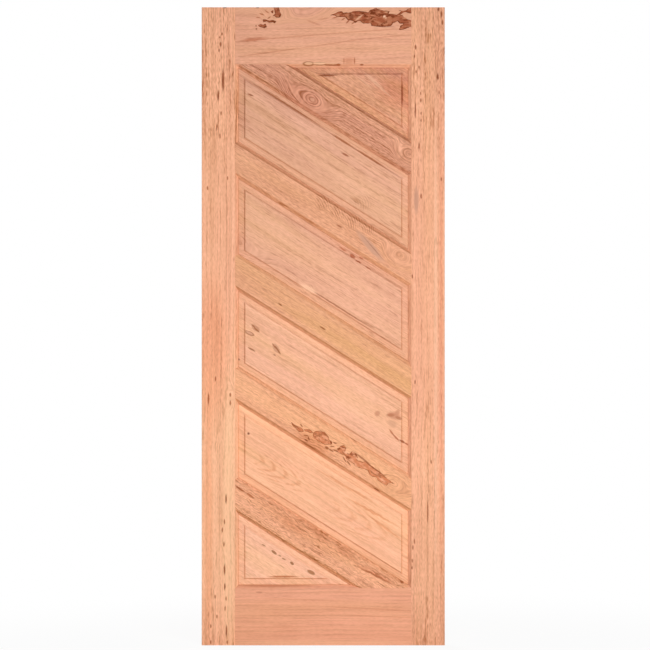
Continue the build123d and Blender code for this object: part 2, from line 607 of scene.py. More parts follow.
    def build_figure(self) -> bpy.types.NodeTree:
        """Group that draws the parts of a board's figure.

        Returns:
            The group. Its outputs are masks: dark growth Rings and stray Lines, Streaks and Fibres along
            the grain, short Dashes and longer Flecks, a broad Mottle and a Blush of hue.
        """
        inputs = {"Vector": ("Grain",), "Float": ("Growth", "Near", "Spacing")}
        sheet = GroupSheet("timber figure", inputs, {"Float": self.FIGURE})
        given = sheet.given
        grain, growth = given["Grain"], given["Growth"]
        along, through, _ = sheet.split(grain)
        bent = sheet.join(along, through, growth)
        pace = sheet.math("MULTIPLY", sheet.noise(bent, self.RING_PACE)[0], self.RING_DRIFT)
        phase = sheet.math("FRACT", sheet.math("ADD", sheet.math("DIVIDE", growth, given["Spacing"]), pace))
        rise, fall = sheet.fade(phase, *self.RING_RISE), sheet.fade(phase, *self.RING_FALL)
        ring = sheet.math("MULTIPLY", rise, fall)
        shown = sheet.fade(sheet.noise(bent, self.RING_BREAKS)[0], *self.RING_SHOWN)
        shown = sheet.math("MAXIMUM", shown, given["Near"])
        ridge = sheet.math("ABSOLUTE", sheet.swing(bent, self.LINE_COURSE))
        broken = sheet.fade(sheet.noise(bent, self.LINE_BREAKS)[0], *self.LINE_SHOWN)
        swings = {
            "Streaks": (bent, self.STREAKS),
            "Fibres": (bent, self.FIBRES),
            "Mottle": (grain, self.MOTTLE),
            "Blush": (bent, self.BLUSH),
        }
        for name, (vector, cells) in swings.items():
            field = sheet.noise(vector, cells)[0]
            sheet.feed(sheet.result[name], sheet.fade(field, *self.SWING_RANGE, ease="LINEAR"))
        return sheet.give(
            rings=sheet.math("MULTIPLY", ring, shown),
            lines=sheet.math("MULTIPLY", sheet.fade(ridge, *self.LINE_EDGE), broken),
            dashes=sheet.spots(bent, self.DASHES, self.DASHES_LEFT_OUT),
            flecks=sheet.spots(bent, self.FLECKS, self.FLECKS_LEFT_OUT),
        )

    def build_colour(self) -> bpy.types.NodeTree:
        """Group that colours the figure.

        Returns:
            The group. Height is the relief of the fibres and pores from 0 to 1.
        """
        strength_names = {part: f"{part} strength" for part in self.FIGURE}
        inputs = {"Color": ("Body",), "Float": ("End", *self.FIGURE, *strength_names.values())}
        outputs = {"Color": ("Colour",), "Float": ("Roughness", "Height")}
        sheet = GroupSheet("timber colour", inputs, outputs)
        given = sheet.given
        strengths = {part: given[name] for part, name in strength_names.items()}
        dark = sheet.total(*((given[part], strengths[part]) for part in ("Rings", "Lines")))
        parts = ("Streaks", "Fibres", "Mottle")
        swings = [(sheet.math("SUBTRACT", given[part], 0.5), strengths[part]) for part in parts]
        tone = sheet.math("SUBTRACT", sheet.total(*swings), dark)
        hue = sheet.math("MULTIPLY", sheet.math("SUBTRACT", given["Blush"], 0.5), strengths["Blush"])
        toned, blushed = sheet.scale(self.TONE_WEIGHT, tone), sheet.scale(self.BLUSH_WEIGHT, hue)
        shift = sheet.vector("ADD", sheet.vector("ADD", toned, blushed), (1.0, 1.0, 1.0))
        colour = sheet.mix(1.0, given["Body"], shift, Lay.TINT)
        for part, tint in (("Dashes", self.DASH_SHADE), ("Flecks", self.FLECK_SHADE)):
            colour = sheet.mix(sheet.math("MULTIPLY", given[part], strengths[part]), colour, tint, Lay.TINT)
        colour = sheet.mix(given["End"], colour, self.END_SHADE, Lay.TINT)
        hollow = sheet.math("MAXIMUM", given["Dashes"], given["Flecks"])
        roughness = sheet.math("ADD", sheet.math("MULTIPLY", hollow, self.PORE_ROUGHNESS), self.ROUGHNESS)
        height = sheet.math("SUBTRACT", given["Fibres"], hollow)
        return sheet.give(colour=colour, roughness=roughness, height=height)

    def build_worked(self) -> bpy.types.NodeTree:
        """Group that tints the machined edges of a board with painted shade, on the slopes by the way they
        face and in the corner at their foot.

        Returns:
            The group. Its levels are measured from the mid thickness.
        """
        inputs = {
            "Float": ("Level", "Facing", "Face", "Foot", "Crease", "Corner"),
            "Color": ("Colour", "Upper tint", "Lower tint", "Border tint", "Crease tint"),
        }
        sheet = GroupSheet("worked edge", inputs, {"Color": ("Colour",)})
        given = sheet.given
        level, face, foot = given["Level"], given["Face"], given["Foot"]
        below = sheet.fade(level, face, sheet.math("SUBTRACT", face, self.EDGE_LEAD))
        under = sheet.fade(level, foot, sheet.math("SUBTRACT", foot, self.EDGE_LEAD))
        # Painted shade in the corner at the foot of the slope, and on the slope itself, darkest along the
        # face.
        painted_crease_shade = sheet.fade(level, sheet.math("ADD", given["Crease"], given["Corner"]), given["Crease"])
        slope = sheet.math("MULTIPLY", below, sheet.fade(level, foot, face))
        # The slope's painted shade takes one tint or the other by whether the slope faces up or down across
        # the grain.
        upper = sheet.fade(given["Facing"], *self.UPPER_FACING)
        tint = sheet.mix(upper, given["Lower tint"], given["Upper tint"])
        colour = given["Colour"]
        for mask, shade in ((slope, tint), (under, given["Border tint"]), (painted_crease_shade, given["Crease tint"])):
            colour = sheet.mix(mask, colour, shade, Lay.TINT)
        return sheet.give(colour=colour)

    def build_mark(self) -> bpy.types.NodeTree:
        """Group that masks one mark on the front face.

        Returns:
            The group. Size is the mark's half length, 1 and half width.
        """
        inputs = {"Vector": ("Place", "Centre", "Turn", "Size"), "Float": ("Outside", "Inside", "Strength")}
        sheet = GroupSheet("face mark", inputs, {"Float": ("Mask",)})
        given = sheet.given
        spot = sheet.local(given["Place"], given["Centre"], given["Turn"], given["Size"])
        distance = sheet.vector("LENGTH", spot)
        return sheet.give(mask=sheet.fade(distance, given["Outside"], given["Inside"], given["Strength"]))

    def build_ripple(self) -> bpy.types.NodeTree:
        """Group that masks a patch of fine lines on the front face.

        Returns:
            The group. Size is the patch's half length, 1 and half width.
        """
        inputs = {"Vector": ("Place", "Centre", "Turn", "Size"), "Float": ("Spacing", "Bow", "Strength")}
        sheet = GroupSheet("grain ripple", inputs, {"Float": ("Mask",)})
        given = sheet.given
        place = given["Place"]
        spot = sheet.local(place, given["Centre"], given["Turn"], (1.0, 1.0, 1.0))
        share = sheet.vector("DIVIDE", spot, given["Size"])
        patch = sheet.fade(sheet.vector("LENGTH", share), *self.RIPPLE_EDGE, given["Strength"])
        aside = sheet.math("POWER", sheet.math("ABSOLUTE", sheet.split(share)[2]), 2.0)
        waver = sheet.swing(place, self.RIPPLE_WAVER)
        course = sheet.total((sheet.split(spot)[0], 1.0), (aside, given["Bow"]), (waver, self.RIPPLE_STRAY))
        wave = sheet.math("PINGPONG", sheet.math("DIVIDE", course, given["Spacing"]), 0.5)
        broken = sheet.fade(sheet.noise(place, self.RIPPLE_BREAKS)[0], *self.RIPPLE_SHOWN)
        line = sheet.math("MULTIPLY", sheet.fade(wave, *self.RIPPLE_LINE), broken)
        return sheet.give(mask=sheet.math("MULTIPLY", line, patch))

    def build_bark(self) -> bpy.types.NodeTree:
        """Group that colours the bark in carved pockets.

        Returns:
            The group. Depth is how far a place lies inside the pocket's outline, in millimetres, and Mask
            shows the bark.
        """
        inputs = {"Vector": ("Grain",), "Float": ("Depth",), "Color": ("Rim", "Fill", "Flake", "Speck")}
        sheet = GroupSheet("bark", inputs, {"Color": ("Colour",), "Float": ("Mask",)})
        given = sheet.given
        grain, depth = given["Grain"], given["Depth"]
        flakes = sheet.fade(sheet.noise(grain, self.BARK_FLAKES)[0], *self.FLAKES_SHOWN)
        specks = sheet.fade(sheet.noise(grain, self.BARK_SPECKS)[0], *self.SPECKS_SHOWN)
        uneven = sheet.math("MULTIPLY", sheet.swing(grain, self.BARK_RIM), self.BARK_RIM_STRAY)
        rim = sheet.fade(sheet.math("ADD", depth, uneven), self.BARK_RIM_WIDTH, 0.0)
        colour = given["Fill"]
        for mask, shade in ((flakes, given["Flake"]), (specks, given["Speck"]), (rim, given["Rim"])):
            colour = sheet.mix(mask, colour, shade)
        return sheet.give(colour=colour, mask=sheet.fade(depth, *self.BARK_EDGE))


class BoardSheet(Sheet):
    """The material of one board under construction."""

    SPECULAR = 0.06
    BUMP_STRENGTH = 0.5

    def __init__(self, name: str, nodes: TimberNodes, grain: Grain, seed: float) -> None:
        """Start the material.

        Args:
            name: the material's name.
            nodes: the groups that boards share.
            grain: the way that the board's grain runs.
            seed: the shift that gives the board a figure of its own.
        """
        self.material = new_material(name)
        super().__init__(self.material.node_tree)
        self.nodes = nodes
        self.grain = grain
        self.place = self.group(nodes.place, turn=grain.value, seed=seed)

    def figure(self, timber: Timber, knots: tuple[Knot, ...]) -> Outputs:
        """Draw the board's grain.

        Args:
            timber: the board's finish.
            knots: the knots that its growth lines close round.

        Returns:
            The colour, roughness and height of the timber.
        """
        place, grain, nodes = self.place["Place"], self.place["Grain"], self.nodes
        wander, jag = timber.wander * MM, timber.jag * MM
        course = self.group(nodes.growth, place=place, grain=grain, wander=wander, jag=jag)["Growth"]
        near: Feed = 0.0
        fine = self.place[Edge.FINE.value]
        for knot in knots:
            reach = (knot.reach * knot.stretch * MM, 1.0, knot.reach * MM)
            spot = {"place": fine, "centre": self.grain.place(knot.x, knot.z), "reach": reach}
            closed = self.group(nodes.knot, growth=course, near=near, **spot)
            course, near = closed["Growth"], closed["Near"]
        spacing = timber.spacing * MM
        figure = self.group(nodes.figure, grain=grain, growth=course, near=near, spacing=spacing)
        values: dict[str, Feed] = {"body": paint(timber.body), "end": self.place["End"]}
        for part in nodes.FIGURE:
            values[part] = figure[part]
            values[f"{part}_strength"] = getattr(timber, part.lower())
        return self.group(nodes.colour, **values)

    def work(self, edge: WorkedEdge, colour: Socket) -> Socket:
        """Tint the board's machined edges, with painted shade on their slopes and in their corners.

        Args:
            edge: their finish.
            colour: the timber below.

        Returns:
            The colour with its edges.
        """
        values: dict[str, Feed] = {"colour": colour}
        for name, value in vars(edge).items():
            values[name] = paint(value) if name.endswith("tint") else value * MM
        for name in ("Level", "Facing"):
            values[name] = self.place[name]
        return self.group(self.nodes.worked, **values)["Colour"]

    def patch(self, patch: Mark | Ripple) -> dict[str, Feed]:
        """Measure a patch on the face as its group takes it.

        Args:
            patch: the mark or ripple.

        Returns:
            Its centre, turn, half size and strength.
        """
        return {
            "centre": self.grain.place(patch.x, patch.z),
            "turn": (0.0, -math.radians(patch.tilt), 0.0),
            "size": (patch.length / 2 * MM, 1.0, patch.width / 2 * MM),
            "strength": patch.strength,
        }

    def ripple(self, ripple: Ripple, colour: Socket) -> Socket:
        """Lay a ripple over the timber.

        Args:
            ripple: the patch of fine lines.
            colour: the timber below.

        Returns:
            The colour with the ripple.
        """
        lines = {"spacing": ripple.spacing * MM, "bow": ripple.bow * MM}
        place = self.place["Place"]
        mask = self.group(self.nodes.ripple, place=place, **lines, **self.patch(ripple))["Mask"]
        return self.mix(mask, colour, paint(ripple.tint), Lay.TINT)

    def mark(self, mark: Mark, colour: Socket) -> Socket:
        """Lay a mark over the timber.

        Args:
            mark: the patch of other colour.
            colour: the timber below.

        Returns:
            The colour with the mark.
        """
        rim = {"outside": 1.0 + mark.soft, "inside": 1.0 - mark.soft}
        place = self.place[mark.edge.value]
        mask = self.group(self.nodes.mark, place=place, **rim, **self.patch(mark))["Mask"]
        return self.mix(mask, colour, paint(mark.colour), mark.lay)

    def bark(self, bark: Bark, colour: Socket) -> Socket:
        """Lay bark in the hollows of a carved board.

        Args:
            bark: its finish.
            colour: the timber round the hollows.

        Returns:
            The colour with the bark.
        """
        depth = self.add("ShaderNodeAttribute", attribute_name=BARK_LAYER)["Fac"]
        shades = {name: paint(code) for name, code in vars(bark).items()}
        laid = self.group(self.nodes.bark, grain=self.place["Grain"], depth=depth, **shades)
        return self.mix(laid["Mask"], colour, laid["Colour"])

    def shade(self, timber: Outputs, colour: Socket, relief: float) -> bpy.types.Material:
        """Finish the material.

        Args:
            timber: the roughness and height of the timber.
            colour: the colour with all that lies on it.
            relief: depth of the fibres and pores in millimetres.

        Returns:
            The material.
        """
        feeds = {"Strength": self.BUMP_STRENGTH, "Distance": relief * MM, "Height": timber["Height"]}
        normal = self.add("ShaderNodeBump", feeds)["Normal"]
        surface = {
            "Base Color": colour,
            "Roughness": timber["Roughness"],
            "Specular IOR Level": self.SPECULAR,
            "Normal": normal,
        }
        shader = self.add("ShaderNodeBsdfPrincipled", surface)
        self.add("ShaderNodeOutputMaterial", {"Surface": shader["BSDF"]})
        return self.material


@dataclass
class Board:
    """One board of the leaf, dressed in timber of its own."""

    node: str
    grain: Grain
    timber: Timber
    edge: WorkedEdge = FRAME_EDGE
    marks: tuple[Mark, ...] = ()
    ripples: tuple[Ripple, ...] = ()
    knots: tuple[Knot, ...] = ()
    relief: float = 0.25

    def dress(self, nodes: TimberNodes) -> bpy.types.Object:
        """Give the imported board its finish.

        Args:
            nodes: the groups that boards share.

        Returns:
            The board's object.
        """
        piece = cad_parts[self.node]
        piece.data.materials.clear()
        piece.data.materials.append(self.finish(nodes))
        return piece

    def finish(self, nodes: TimberNodes) -> bpy.types.Material:
        """Make the board's material, with its ripples and marks in their order.

        Args:
            nodes: the groups that boards share.

        Returns:
            The material.
        """
        sheet = BoardSheet(f"{self.node} timber", nodes, self.grain, self.timber.seed)
        timber = sheet.figure(self.timber, self.knots)
        colour = self.barked(sheet, sheet.work(self.edge, timber["Colour"]))
        for ripple in self.ripples:
            colour = sheet.ripple(ripple, colour)
        for mark in self.marks:
            colour = sheet.mark(mark, colour)
        return sheet.shade(timber, colour, self.relief)

    def barked(self, sheet: BoardSheet, colour: Socket) -> Socket:
        """Leave the timber as it is, since a plain board has no bark pockets."""
        return colour


@dataclass
class CarvedBoard(Board):
    """A board with bark pockets sunk in its front face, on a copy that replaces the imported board.

    The patch is the part of the face that gets a fine grid, by its centre on the leaf and its size along
    and across the grain. A pocket's bank falls to its depth, which is rough, and its outline strays.
    Lengths are in millimetres.
    """

    hollows: tuple[Hollow, ...] = ()
    bark: Bark = Bark("6E3118", "A4583A", "BE7A5A", "7A3A1E")
    patch_centre: tuple[float, float] = (0.0, 0.0)
    patch_size: tuple[float, float] = (100.0, 50.0)
    grid: float = 1.1
    depth: float = 1.4
    bank: float = 3.2
    roughness: float = 0.5
    rough_spread: float = 4.0
    rough_level: float = 3.0
    stray: float = 1.3
    stray_spread: float = 6.0
    stray_seed: int = 1
    grow: float = 0.0
    outside: float = -6.0
    front_tolerance: float = 0.01
    cut_tolerance: float = 0.001
    sharp_angle: float = math.radians(40.0)

    def dress(self, nodes: TimberNodes) -> bpy.types.Object:
        """Make the carved copy and give it its finish.

        Args:
            nodes: the groups that boards share.

        Returns:
            The carved board's object.
        """
        mesh = bmesh.new()
        mesh.from_mesh(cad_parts[self.node].data)
        layer = mesh.verts.layers.float.new(BARK_LAYER)
        for vert in mesh.verts:
            vert[layer] = self.outside
        self.sink(self.refine(mesh), layer)
        data = bpy.data.meshes.new(f"{self.node}_carved")
        mesh.to_mesh(data)
        mesh.free()
        data.set_sharp_from_angle(angle=self.sharp_angle)
        data.materials.clear()
        data.materials.append(self.finish(nodes))
        piece = bpy.data.objects.new(f"{self.node}_carved", data)
        bpy.context.scene.collection.objects.link(piece)
        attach(piece, "root")
        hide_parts(self.node)
        return piece

    def front_faces(self, mesh: bmesh.types.BMesh) -> list[bmesh.types.BMFace]:
        """Find the flat front of the board.

        Args:
            mesh: the board's copy.

        Returns:
            The faces that make it up.
        """
        front = min(vert.co.y for vert in mesh.verts)
        level = front + self.front_tolerance * MM
        return [face for face in mesh.faces if max(vert.co.y for vert in face.verts) < level]

    def centre(self) -> Vector:
        """Centre of the patch in metres."""
        return Vector((self.patch_centre[0], 0.0, self.patch_centre[1])) * MM

    def patch_face(self, mesh: bmesh.types.BMesh) -> bmesh.types.BMFace:
        """Find the face of the front that lies at the centre of the patch.

        Args:
            mesh: the board's copy.

        Returns:
            The face.
        """
        centre = self.centre()

        def apart(face: bmesh.types.BMFace) -> float:
            """Distance of a face's middle from the centre, on the face of the leaf."""
            offset = face.calc_center_median() - centre
            return math.hypot(offset.x, offset.z)

        return min(self.front_faces(mesh), key=apart)

    def refine(self, mesh: bmesh.types.BMesh) -> list[bmesh.types.BMVert]:
        """Cut the patch out of the front face and lay a fine grid in its place.

        Args:
            mesh: the board's copy.

        Returns:
            The points of the grid.
        """
        along, across = self.grain.axes()
        bmesh.ops.dissolve_faces(mesh, faces=self.front_faces(mesh))
        for axis, size in ((along, self.patch_size[0]), (across, self.patch_size[1])):
            for side in (-0.5, 0.5):
                faces = self.front_faces(mesh)
                parts = dict.fromkeys(part for face in faces for part in (face, *face.edges, *face.verts))
                cut = self.centre() + axis * side * size * MM
                tolerance = self.cut_tolerance * MM
                bmesh.ops.bisect_plane(mesh, geom=list(parts), plane_co=cut, plane_no=axis, dist=tolerance)
        patch = self.patch_face(mesh)
        front = patch.verts[0].co.y
        lows, spans, counts = [], [], []
        for axis in (along, across):
            reach = [vert.co.dot(axis) for vert in patch.verts]
            lows.append(min(reach))
            spans.append(max(reach) - min(reach))
            counts.append(math.ceil(spans[-1] / (self.grid * MM)))
        for border in list(patch.edges):
            run = border.verts[1].co - border.verts[0].co
            count = counts[0] if abs(run.dot(along)) > abs(run.dot(across)) else counts[1]
            bmesh.ops.bisect_edges(mesh, edges=[border], cuts=count - 1)
        patch = self.patch_face(mesh)
        steps = [span / count for span, count in zip(spans, counts)]
        grid: dict[tuple[int, int], bmesh.types.BMVert] = {}
        for vert in patch.verts:
            column = round((vert.co.dot(along) - lows[0]) / steps[0])
            row = round((vert.co.dot(across) - lows[1]) / steps[1])
            grid[column, row] = vert
        mesh.faces.remove(patch)
        for column in range(counts[0] + 1):
            for row in range(counts[1] + 1):
                if (column, row) not in grid:
                    spot = along * (lows[0] + column * steps[0]) + across * (lows[1] + row * steps[1])
                    spot.y = front
                    grid[column, row] = mesh.verts.new(spot)
        for column in range(counts[0]):
            for row in range(counts[1]):
                corners = ((column, row), (column + 1, row), (column + 1, row + 1), (column, row + 1))
                face = mesh.faces.new([grid[corner] for corner in corners])
                face.smooth = True
        return list(grid.values())

    def sink(self, verts: list[bmesh.types.BMVert], layer: bmesh.types.BMLayerItem) -> None:
        """Sink the hollows into the grid, and note how far inside them each point lies.

        Args:
            verts: the points of the grid.
            layer: where the distance inside is kept, in millimetres.
        """
        places = np.array([(vert.co.x, vert.co.z) for vert in verts]) / MM
        noise.seed_set(self.stray_seed)
        drift = [noise.noise_vector(Vector((x, 0.0, z)) / self.stray_spread) for x, z in places]
        strayed = places + np.array([(shift.x, shift.z) for shift in drift]) * self.stray
        inset = np.max([hollow.inset(strayed) for hollow in self.hollows], axis=0) + self.grow
        for vert, (x, z), inside in zip(verts, places, inset):
            vert[layer] = max(float(inside), self.outside)
            share = min(max(float(inside) / self.bank, 0.0), 1.0)
            rough = self.roughness * noise.noise(Vector((x, self.rough_level, z)) / self.rough_spread)
            vert.co.y += share * share * (3.0 - 2.0 * share) * (self.depth + rough) * MM

    def barked(self, sheet: BoardSheet, colour: Socket) -> Socket:
        """Lay bark in the board's hollows."""
        return sheet.bark(self.bark, colour)


DARK_FLECK = "966A4A"
WARM_TINT = "C8A084"
RISING_LINE = "DCBCA6"
LEVEL_STREAK = "E6CEBE"
KNOT_RIM = "A2643F"


def flecks(*rows: tuple[float, ...]) -> tuple[Mark, ...]:
    """Dark flecks, each by its place, length and width, and where they differ its tilt and tint."""
    return tuple(Mark(*row) for row in rows)


def stain(
    x: float, z: float, length: float, width: float, tilt: float, colour: str, strength: float = 0.8
) -> Mark:
    """A mark that hides the timber under it."""
    return Mark(x, z, length, width, tilt, colour, strength, lay=Lay.COVER)


def crisp(x: float, z: float, length: float, width: float, tilt: float, colour: str) -> Mark:
    """A mark that hides the timber under it, with a clear outline."""
    return Mark(x, z, length, width, tilt, colour, soft=0.2, lay=Lay.COVER)


def wash(
    x: float, z: float, length: float, width: float, tilt: float, colour: str, strength: float = 0.8
) -> Mark:
    """A broad tint of the timber, with a ragged outline."""
    return Mark(x, z, length, width, tilt, colour, strength, soft=0.6, edge=Edge.RAGGED)


class Assembly:
    """A sub-assembly of the leaf."""

    def boards(self) -> tuple[Board, ...]:
        """Boards that it is made of."""
        raise NotImplementedError

    def dress(self, nodes: TimberNodes) -> None:
        """Finish the boards and log each piece.

        Args:
            nodes: the groups that boards share.
        """
        for board in self.boards():
            piece = board.dress(nodes)
            log.info("%s: %s", type(self).__name__, piece.name)


@dataclass
class Stiles(Assembly):
    """The two upright boards at the sides."""

    left_timber: Timber = Timber(
        "F2B28D", 1.0, lines=0.46, streaks=0.36, fibres=0.30, dashes=0.42, flecks=0.35,
    )
    right_timber: Timber = Timber(
        "E9AA88", 2.0, lines=0.44, streaks=0.20, fibres=0.32, dashes=0.45, flecks=0.25,
    )

    def boards(self) -> tuple[Board, ...]:
        """Both stiles."""
        return (self.left(), self.right())

    def left(self) -> Board:
        """Stile at the hinge edge, redder half way down and paler along its lower inner side."""
        # The second stain pales the lower part of the stile: painted light, standing in for the lamp
        # lighting the lower part more brightly, laid on the stile's own tone.
        tones_and_painted_light = (
            stain(60, 1330, 620, 500, 0, "EFB18E", 0.4), stain(60, 490, 860, 500, 0, "FFCBA0", 0.40),
            wash(36, 960, 440, 84, 0, "F8E6DC"), wash(22, 400, 820, 26, 0, "F8E6DC"),
            stain(88, 400, 840, 34, 0, "FFD2A6", 0.30), Mark(60, 470, 330, 3.6, strength=0.35),
            Mark(81, 1560, 960, 2.8, strength=0.25),
        )
        spots = flecks(
            (67, 2012, 9.9, 5.3), (59, 2001, 6.6, 4.3), (62, 1978, 15, 6.6), (57, 1958, 12, 4.3),
            (70, 1860, 73, 7.3, 0, DARK_FLECK), (54, 1810, 33, 6.5, 0, DARK_FLECK), (64, 1751, 13, 4),
            (50, 1705, 20, 4), (60, 1676, 16, 4), (85, 1538, 13, 4), (19, 1505, 13, 4),
            (45, 877, 16, 4.3), (94, 824, 13, 5), (94, 798, 16, 5), (22, 811, 40, 4.9),
            (80, 482, 30, 4.9, 0, DARK_FLECK), (75, 407, 16, 4.6), (68, 380, 16, 4.6), (73, 333, 16, 4.6),
            (75, 249, 33, 5.3, 0, DARK_FLECK), (76, 193, 23, 4.9, 0, DARK_FLECK), (80, 154, 13, 4.3),
            (77, 121, 16, 4.3), (44, 160, 13, 4), (50, 95, 13, 4), (30, 63, 13, 4),
            (81, 48, 36, 4.9, 0, DARK_FLECK), (84, 10, 13, 4.6), (30, 10, 13, 4.3),
            (76, 2099, 10, 4.9, 90, DARK_FLECK),
        )
        knots = (Knot(94, 818, 20, 3.0),)
        marks = tones_and_painted_light + spots
        return Board("left_stile", Grain.UPRIGHT, self.left_timber, STILE_EDGE, marks, knots=knots)

    def right(self) -> Board:
        """Stile at the lock edge, with a grey stain and rings that bend at its top."""
        # The second stain pales the lower part of the stile: painted light, standing in for the lamp
        # lighting the lower part more brightly, laid on the stile's own tone.
        tones_and_painted_light = (
            stain(740, 1200, 900, 500, 0, "E8AA88", 0.40), stain(740, 420, 560, 500, 0, "FFC49C", 0.25),
            stain(770, 1000, 1500, 10, 0, "F3CDAE", 0.25), wash(788, 1000, 1600, 10, 0, "F9E6E0"),
            stain(706, 1465, 82, 15, 0, "C08E76"), Mark(744, 290, 180, 3.5, strength=0.3),
            Mark(762, 140, 70, 3.5, strength=0.3),
        )
        spots = flecks(
            (704, 1969, 16, 5.3, 0, DARK_FLECK), (700, 1939, 9.9, 4.3), (715, 1903, 9.9, 4.3),
            (706, 1888, 9.9, 4.3), (777, 1872, 20, 5.5, 0, DARK_FLECK), (781, 1820, 13, 4.3),
            (721, 1817, 9.9, 4.3), (721, 1794, 13, 4.3), (703, 1761, 49, 4.3, 0, DARK_FLECK),
            (722, 1751, 9.9, 4), (722, 1728, 9.9, 4), (715, 1643, 20, 4.6), (722, 1478, 16, 4.9),
            (788, 1534, 13, 4.3), (693, 1214, 13, 4), (702, 866, 13, 4), (755, 604, 13, 4),
            (744, 440, 82, 4), (700, 342, 16, 4.3), (693, 278, 13, 4), (695, 322, 16, 4.3),
            (692, 255, 10, 4.5), (779, 2093, 13, 6, 0, DARK_FLECK), (789, 2077, 20, 5.5, 0, DARK_FLECK),
            (792, 2050, 16, 4.9),
        )
        knots = (Knot(820, 2100, 75, 2.6),)
        marks = tones_and_painted_light + spots
        return Board("right_stile", Grain.UPRIGHT, self.right_timber, STILE_EDGE, marks, knots=knots)


